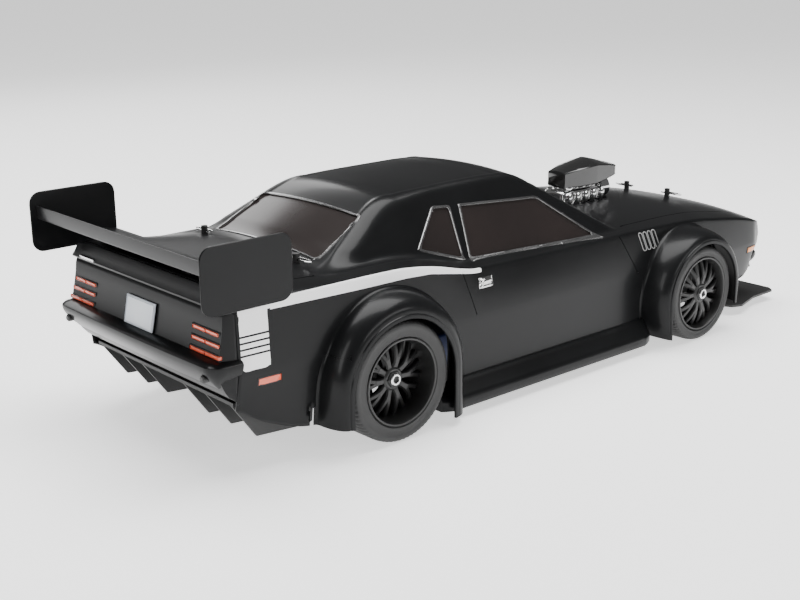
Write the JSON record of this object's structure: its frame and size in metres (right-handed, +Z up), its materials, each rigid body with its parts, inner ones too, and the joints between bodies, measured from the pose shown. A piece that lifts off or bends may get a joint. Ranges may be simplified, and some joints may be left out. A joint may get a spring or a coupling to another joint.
{
  "type": "radio control car",
  "caption": "Large on-road electric model car: wide-body coupe shell with blower and rear wing over a four-wheel-drive chassis with wishbones, steering and shaft drive.",
  "frame": {"origin": "on the ground under the middle of the car, midway between the axles", "axes": "+X forward, +Y to the car's left, +Z up"},
  "size_m": [0.784, 0.308, 0.2],
  "materials": {
    "shell_paint": "satin black paint",
    "shell_white": "white paint stripe",
    "window_tint": "smoked clear plastic",
    "lamp_red": "red lamp strip",
    "lamp_amber": "amber lamp",
    "plate_white": "blank plate",
    "chrome_trim": "bright",
    "tyre_rubber": "soft rubber",
    "rim_black": "satin black",
    "hub_metal": "bright turned",
    "black_nylon": "moulded",
    "alloy_dark": "anodised",
    "alloy_shock": "anodised",
    "steel": "plain",
    "spring_red": "gloss",
    "motor_can": "satin",
    "case_plastic": "fine texture",
    "battery_wrap": "shrink wrap",
    "leash_rubber": "soft"
  },
  "bodies": {
    "chassis": {"chassis_plate": "alloy_dark", "front_splitter": "black_nylon", "rear_diffuser": "black_nylon", "front_gearbox": "black_nylon", "rear_gearbox": "black_nylon", "motor": "motor_can", "steering_servo": "case_plastic", "speed_controller": "case_plastic", "battery": "battery_wrap"},
    "shell": {"body_shell": "shell_paint", "rear_wing": "shell_paint", "blower": "chrome_trim", "body_posts": "black_nylon"},
    "centre_shaft": {"centre_shaft": "steel"},
    "motor_pinion": {"motor_pinion": "steel"},
    "steering_arm": {"steering_arm": "black_nylon"},
    "front_left_wheel": {"front_left_tyre": "tyre_rubber", "front_left_rim": "rim_black"},
    "front_left_drive_shaft": {"front_left_drive_shaft": "steel"},
    "front_left_lower_arm": {"front_left_lower_arm": "black_nylon"},
    "front_left_upper_arm": {"front_left_upper_arm": "black_nylon"},
    "front_left_shock_body": {"front_left_shock_body": "alloy_shock", "front_left_spring": "spring_red"},
    "front_left_shock_shaft": {"front_left_shock_shaft": "steel"},
    "front_left_clip": {"front_left_clip": "steel"},
    "front_left_caster_block": {"front_left_caster_block": "black_nylon"},
    "front_left_knuckle": {"front_left_knuckle": "alloy_dark"},
    "front_left_track_rod": {"front_left_track_rod": "steel"},
    "front_right_wheel": {"front_right_tyre": "tyre_rubber", "front_right_rim": "rim_black"},
    "front_right_drive_shaft": {"front_right_drive_shaft": "steel"},
    "front_right_lower_arm": {"front_right_lower_arm": "black_nylon"},
    "front_right_upper_arm": {"front_right_upper_arm": "black_nylon"},
    "front_right_shock_body": {"front_right_shock_body": "alloy_shock", "front_right_spring": "spring_red"},
    "front_right_shock_shaft": {"front_right_shock_shaft": "steel"},
    "front_right_clip": {"front_right_clip": "steel"},
    "front_right_caster_block": {"front_right_caster_block": "black_nylon"},
    "front_right_knuckle": {"front_right_knuckle": "alloy_dark"},
    "front_right_track_rod": {"front_right_track_rod": "steel"},
    "rear_left_wheel": {"rear_left_tyre": "tyre_rubber", "rear_left_rim": "rim_black"},
    "rear_left_drive_shaft": {"rear_left_drive_shaft": "steel"},
    "rear_left_lower_arm": {"rear_left_lower_arm": "black_nylon"},
    "rear_left_upper_arm": {"rear_left_upper_arm": "black_nylon"},
    "rear_left_shock_body": {"rear_left_shock_body": "alloy_shock", "rear_left_spring": "spring_red"},
    "rear_left_shock_shaft": {"rear_left_shock_shaft": "steel"},
    "rear_left_clip": {"rear_left_clip": "steel"},
    "rear_left_carrier": {"rear_left_carrier": "black_nylon"},
    "rear_right_wheel": {"rear_right_tyre": "tyre_rubber", "rear_right_rim": "rim_black"},
    "rear_right_drive_shaft": {"rear_right_drive_shaft": "steel"},
    "rear_right_lower_arm": {"rear_right_lower_arm": "black_nylon"},
    "rear_right_upper_arm": {"rear_right_upper_arm": "black_nylon"},
    "rear_right_shock_body": {"rear_right_shock_body": "alloy_shock", "rear_right_spring": "spring_red"},
    "rear_right_shock_shaft": {"rear_right_shock_shaft": "steel"},
    "rear_right_clip": {"rear_right_clip": "steel"},
    "rear_right_carrier": {"rear_right_carrier": "black_nylon"}
  },
  "joints": [
    {"name": "front_left_suspension", "type": "hinge", "parent": "chassis", "child": "front_left_lower_arm", "pos_m": [0.205, 0.029, 0.026], "axis": [1, 0, 0], "range_deg": [-5, 5], "stiffness_Nm_per_rad": 8, "springref_deg": -5.73},
    {"name": "front_left_upper_link", "type": "hinge", "parent": "chassis", "child": "front_left_upper_arm", "pos_m": [0.205, 0.029, 0.07], "axis": [1, 0, 0], "range_deg": [-6, 6]},
    {"name": "front_left_hub_level", "type": "hinge", "parent": "front_left_lower_arm", "child": "front_left_caster_block", "pos_m": [0.205, 0.085, 0.026], "axis": [1, 0, 0], "range_deg": [-6, 6]},
    {"name": "front_left_shock_swing", "type": "hinge", "parent": "chassis", "child": "front_left_shock_body", "pos_m": [0.227, 0.042, 0.103], "axis": [1, 0, 0], "range_deg": [-2, 2]},
    {"name": "front_left_shock_travel", "type": "slide", "parent": "front_left_shock_body", "child": "front_left_shock_shaft", "axis": [0, 0.3417, -0.9398], "range_m": [-0.0045, 0.0045], "deforming": ["front_left_spring"]},
    {"name": "front_left_steer", "type": "hinge", "parent": "front_left_caster_block", "child": "front_left_knuckle", "pos_m": [0.205, 0.104, 0.05], "axis": [0, 0, 1], "range_deg": [-24, 24]},
    {"name": "front_left_track_rod_pin", "type": "hinge", "parent": "steering_arm", "child": "front_left_track_rod", "pos_m": [0.125, 0.005, 0.048], "axis": [0, 0, 1], "range_deg": [-25, 25]},
    {"name": "front_left_wheel_spin", "type": "hinge", "parent": "front_left_knuckle", "child": "front_left_wheel", "pos_m": [0.205, 0.128, 0.05], "axis": [0, 1, 0], "continuous": true},
    {"name": "front_left_shaft_spin", "type": "hinge", "parent": "front_left_lower_arm", "child": "front_left_drive_shaft", "pos_m": [0.205, 0.05, 0.05], "axis": [0, 1, 0], "continuous": true},
    {"name": "front_left_clip_pull", "type": "slide", "parent": "shell", "child": "front_left_clip", "axis": [0, 1, 0], "range_m": [0, 0.03]},
    {"name": "front_right_suspension", "type": "hinge", "parent": "chassis", "child": "front_right_lower_arm", "pos_m": [0.205, -0.029, 0.026], "axis": [-1, 0, 0], "range_deg": [-5, 5], "stiffness_Nm_per_rad": 8, "springref_deg": -5.73},
    {"name": "front_right_upper_link", "type": "hinge", "parent": "chassis", "child": "front_right_upper_arm", "pos_m": [0.205, -0.029, 0.07], "axis": [-1, 0, 0], "range_deg": [-6, 6]},
    {"name": "front_right_hub_level", "type": "hinge", "parent": "front_right_lower_arm", "child": "front_right_caster_block", "pos_m": [0.205, -0.085, 0.026], "axis": [-1, 0, 0], "range_deg": [-6, 6]},
    {"name": "front_right_shock_swing", "type": "hinge", "parent": "chassis", "child": "front_right_shock_body", "pos_m": [0.227, -0.042, 0.103], "axis": [-1, 0, 0], "range_deg": [-2, 2]},
    {"name": "front_right_shock_travel", "type": "slide", "parent": "front_right_shock_body", "child": "front_right_shock_shaft", "axis": [0, -0.3417, -0.9398], "range_m": [-0.0045, 0.0045], "deforming": ["front_right_spring"]},
    {"name": "front_right_steer", "type": "hinge", "parent": "front_right_caster_block", "child": "front_right_knuckle", "pos_m": [0.205, -0.104, 0.05], "axis": [0, 0, 1], "range_deg": [-25, 25]},
    {"name": "front_right_track_rod_pin", "type": "hinge", "parent": "steering_arm", "child": "front_right_track_rod", "pos_m": [0.125, -0.005, 0.048], "axis": [0, 0, 1], "range_deg": [-25, 25]},
    {"name": "front_right_wheel_spin", "type": "hinge", "parent": "front_right_knuckle", "child": "front_right_wheel", "pos_m": [0.205, -0.128, 0.05], "axis": [0, 1, 0], "continuous": true},
    {"name": "front_right_shaft_spin", "type": "hinge", "parent": "front_right_lower_arm", "child": "front_right_drive_shaft", "pos_m": [0.205, -0.05, 0.05], "axis": [0, 1, 0], "continuous": true},
    {"name": "front_right_clip_pull", "type": "slide", "parent": "shell", "child": "front_right_clip", "axis": [0, -1, 0], "range_m": [0, 0.03]},
    {"name": "rear_left_suspension", "type": "hinge", "parent": "chassis", "child": "rear_left_lower_arm", "pos_m": [-0.205, 0.029, 0.026], "axis": [1, 0, 0], "range_deg": [-5, 5], "stiffness_Nm_per_rad": 8, "springref_deg": -5.73},
    {"name": "rear_left_upper_link", "type": "hinge", "parent": "chassis", "child": "rear_left_upper_arm", "pos_m": [-0.205, 0.029, 0.07], "axis": [1, 0, 0], "range_deg": [-6, 6]},
    {"name": "rear_left_hub_level", "type": "hinge", "parent": "rear_left_lower_arm", "child": "rear_left_carrier", "pos_m": [-0.205, 0.085, 0.026], "axis": [1, 0, 0], "range_deg": [-6, 6]},
    {"name": "rear_left_shock_swing", "type": "hinge", "parent": "chassis", "child": "rear_left_shock_body", "pos_m": [-0.183, 0.042, 0.103], "axis": [1, 0, 0], "range_deg": [-2, 2]},
    {"name": "rear_left_shock_travel", "type": "slide", "parent": "rear_left_shock_body", "child": "rear_left_shock_shaft", "axis": [0, 0.3417, -0.9398], "range_m": [-0.0045, 0.0045], "deforming": ["rear_left_spring"]},
    {"name": "rear_left_wheel_spin", "type": "hinge", "parent": "rear_left_carrier", "child": "rear_left_wheel", "pos_m": [-0.205, 0.1185, 0.0535], "axis": [0, 1, 0], "continuous": true},
    {"name": "rear_left_shaft_spin", "type": "hinge", "parent": "rear_left_lower_arm", "child": "rear_left_drive_shaft", "pos_m": [-0.205, 0.05, 0.0535], "axis": [0, 1, 0], "continuous": true},
    {"name": "rear_left_clip_pull", "type": "slide", "parent": "shell", "child": "rear_left_clip", "axis": [0, 1, 0], "range_m": [0, 0.03]},
    {"name": "rear_right_suspension", "type": "hinge", "parent": "chassis", "child": "rear_right_lower_arm", "pos_m": [-0.205, -0.029, 0.026], "axis": [-1, 0, 0], "range_deg": [-5, 5], "stiffness_Nm_per_rad": 8, "springref_deg": -5.73},
    {"name": "rear_right_upper_link", "type": "hinge", "parent": "chassis", "child": "rear_right_upper_arm", "pos_m": [-0.205, -0.029, 0.07], "axis": [-1, 0, 0], "range_deg": [-6, 6]},
    {"name": "rear_right_hub_level", "type": "hinge", "parent": "rear_right_lower_arm", "child": "rear_right_carrier", "pos_m": [-0.205, -0.085, 0.026], "axis": [-1, 0, 0], "range_deg": [-6, 6]},
    {"name": "rear_right_shock_swing", "type": "hinge", "parent": "chassis", "child": "rear_right_shock_body", "pos_m": [-0.183, -0.042, 0.103], "axis": [-1, 0, 0], "range_deg": [-2, 2]},
    {"name": "rear_right_shock_travel", "type": "slide", "parent": "rear_right_shock_body", "child": "rear_right_shock_shaft", "axis": [0, -0.3417, -0.9398], "range_m": [-0.0045, 0.0045], "deforming": ["rear_right_spring"]},
    {"name": "rear_right_wheel_spin", "type": "hinge", "parent": "rear_right_carrier", "child": "rear_right_wheel", "pos_m": [-0.205, -0.1185, 0.0535], "axis": [0, 1, 0], "continuous": true},
    {"name": "rear_right_shaft_spin", "type": "hinge", "parent": "rear_right_lower_arm", "child": "rear_right_drive_shaft", "pos_m": [-0.205, -0.05, 0.0535], "axis": [0, 1, 0], "continuous": true},
    {"name": "rear_right_clip_pull", "type": "slide", "parent": "shell", "child": "rear_right_clip", "axis": [0, -1, 0], "range_m": [0, 0.03]},
    {"name": "steering_servo_turn", "type": "hinge", "parent": "chassis", "child": "steering_arm", "pos_m": [0.15, 0, 0.0545], "axis": [0, 0, 1], "range_deg": [-25, 25]},
    {"name": "centre_shaft_spin", "type": "hinge", "parent": "chassis", "child": "centre_shaft", "pos_m": [-0.06, 0, 0.036], "axis": [1, 0, 0], "continuous": true},
    {"name": "motor_spin", "type": "hinge", "parent": "chassis", "child": "motor_pinion", "pos_m": [-0.06, 0.02538, 0.04783], "axis": [1, 0, 0], "continuous": true},
    {"name": "shell_lift", "type": "slide", "parent": "chassis", "child": "shell", "axis": [0, 0, 1], "range_m": [0, 0.15]}
  ],
  "couplings": [
    {"joint": "front_left_upper_link", "follows": "front_left_suspension", "ratio": 1},
    {"joint": "front_left_hub_level", "follows": "front_left_suspension", "ratio": -1},
    {"joint": "front_left_shock_swing", "follows": "front_left_suspension", "ratio": 0.03285},
    {"joint": "front_left_shock_travel", "follows": "front_left_suspension", "m_per_rad": -0.038532},
    {"joint": "front_left_track_rod_pin", "follows": "front_left_steer", "ratio": -1},
    {"joint": "front_left_wheel_spin", "follows": "rear_left_wheel_spin", "ratio": 1},
    {"joint": "front_left_shaft_spin", "follows": "rear_left_wheel_spin", "ratio": 1},
    {"joint": "front_right_upper_link", "follows": "front_right_suspension", "ratio": 1},
    {"joint": "front_right_hub_level", "follows": "front_right_suspension", "ratio": -1},
    {"joint": "front_right_shock_swing", "follows": "front_right_suspension", "ratio": 0.03285},
    {"joint": "front_right_shock_travel", "follows": "front_right_suspension", "m_per_rad": -0.038532},
    {"joint": "front_right_steer", "follows": "front_left_steer", "ratio": 1},
    {"joint": "front_right_track_rod_pin", "follows": "front_left_steer", "ratio": -1},
    {"joint": "front_right_wheel_spin", "follows": "rear_left_wheel_spin", "ratio": 1},
    {"joint": "front_right_shaft_spin", "follows": "rear_left_wheel_spin", "ratio": 1},
    {"joint": "rear_left_upper_link", "follows": "rear_left_suspension", "ratio": 1},
    {"joint": "rear_left_hub_level", "follows": "rear_left_suspension", "ratio": -1},
    {"joint": "rear_left_shock_swing", "follows": "rear_left_suspension", "ratio": 0.03285},
    {"joint": "rear_left_shock_travel", "follows": "rear_left_suspension", "m_per_rad": -0.038532},
    {"joint": "rear_left_shaft_spin", "follows": "rear_left_wheel_spin", "ratio": 1},
    {"joint": "rear_right_upper_link", "follows": "rear_right_suspension", "ratio": 1},
    {"joint": "rear_right_hub_level", "follows": "rear_right_suspension", "ratio": -1},
    {"joint": "rear_right_shock_swing", "follows": "rear_right_suspension", "ratio": 0.03285},
    {"joint": "rear_right_shock_travel", "follows": "rear_right_suspension", "m_per_rad": -0.038532},
    {"joint": "rear_right_wheel_spin", "follows": "rear_left_wheel_spin", "ratio": 1},
    {"joint": "rear_right_shaft_spin", "follows": "rear_left_wheel_spin", "ratio": 1},
    {"joint": "steering_servo_turn", "follows": "front_left_steer", "ratio": 1},
    {"joint": "centre_shaft_spin", "follows": "rear_left_wheel_spin", "ratio": 3},
    {"joint": "motor_spin", "follows": "rear_left_wheel_spin", "ratio": -7.5}
  ]
}
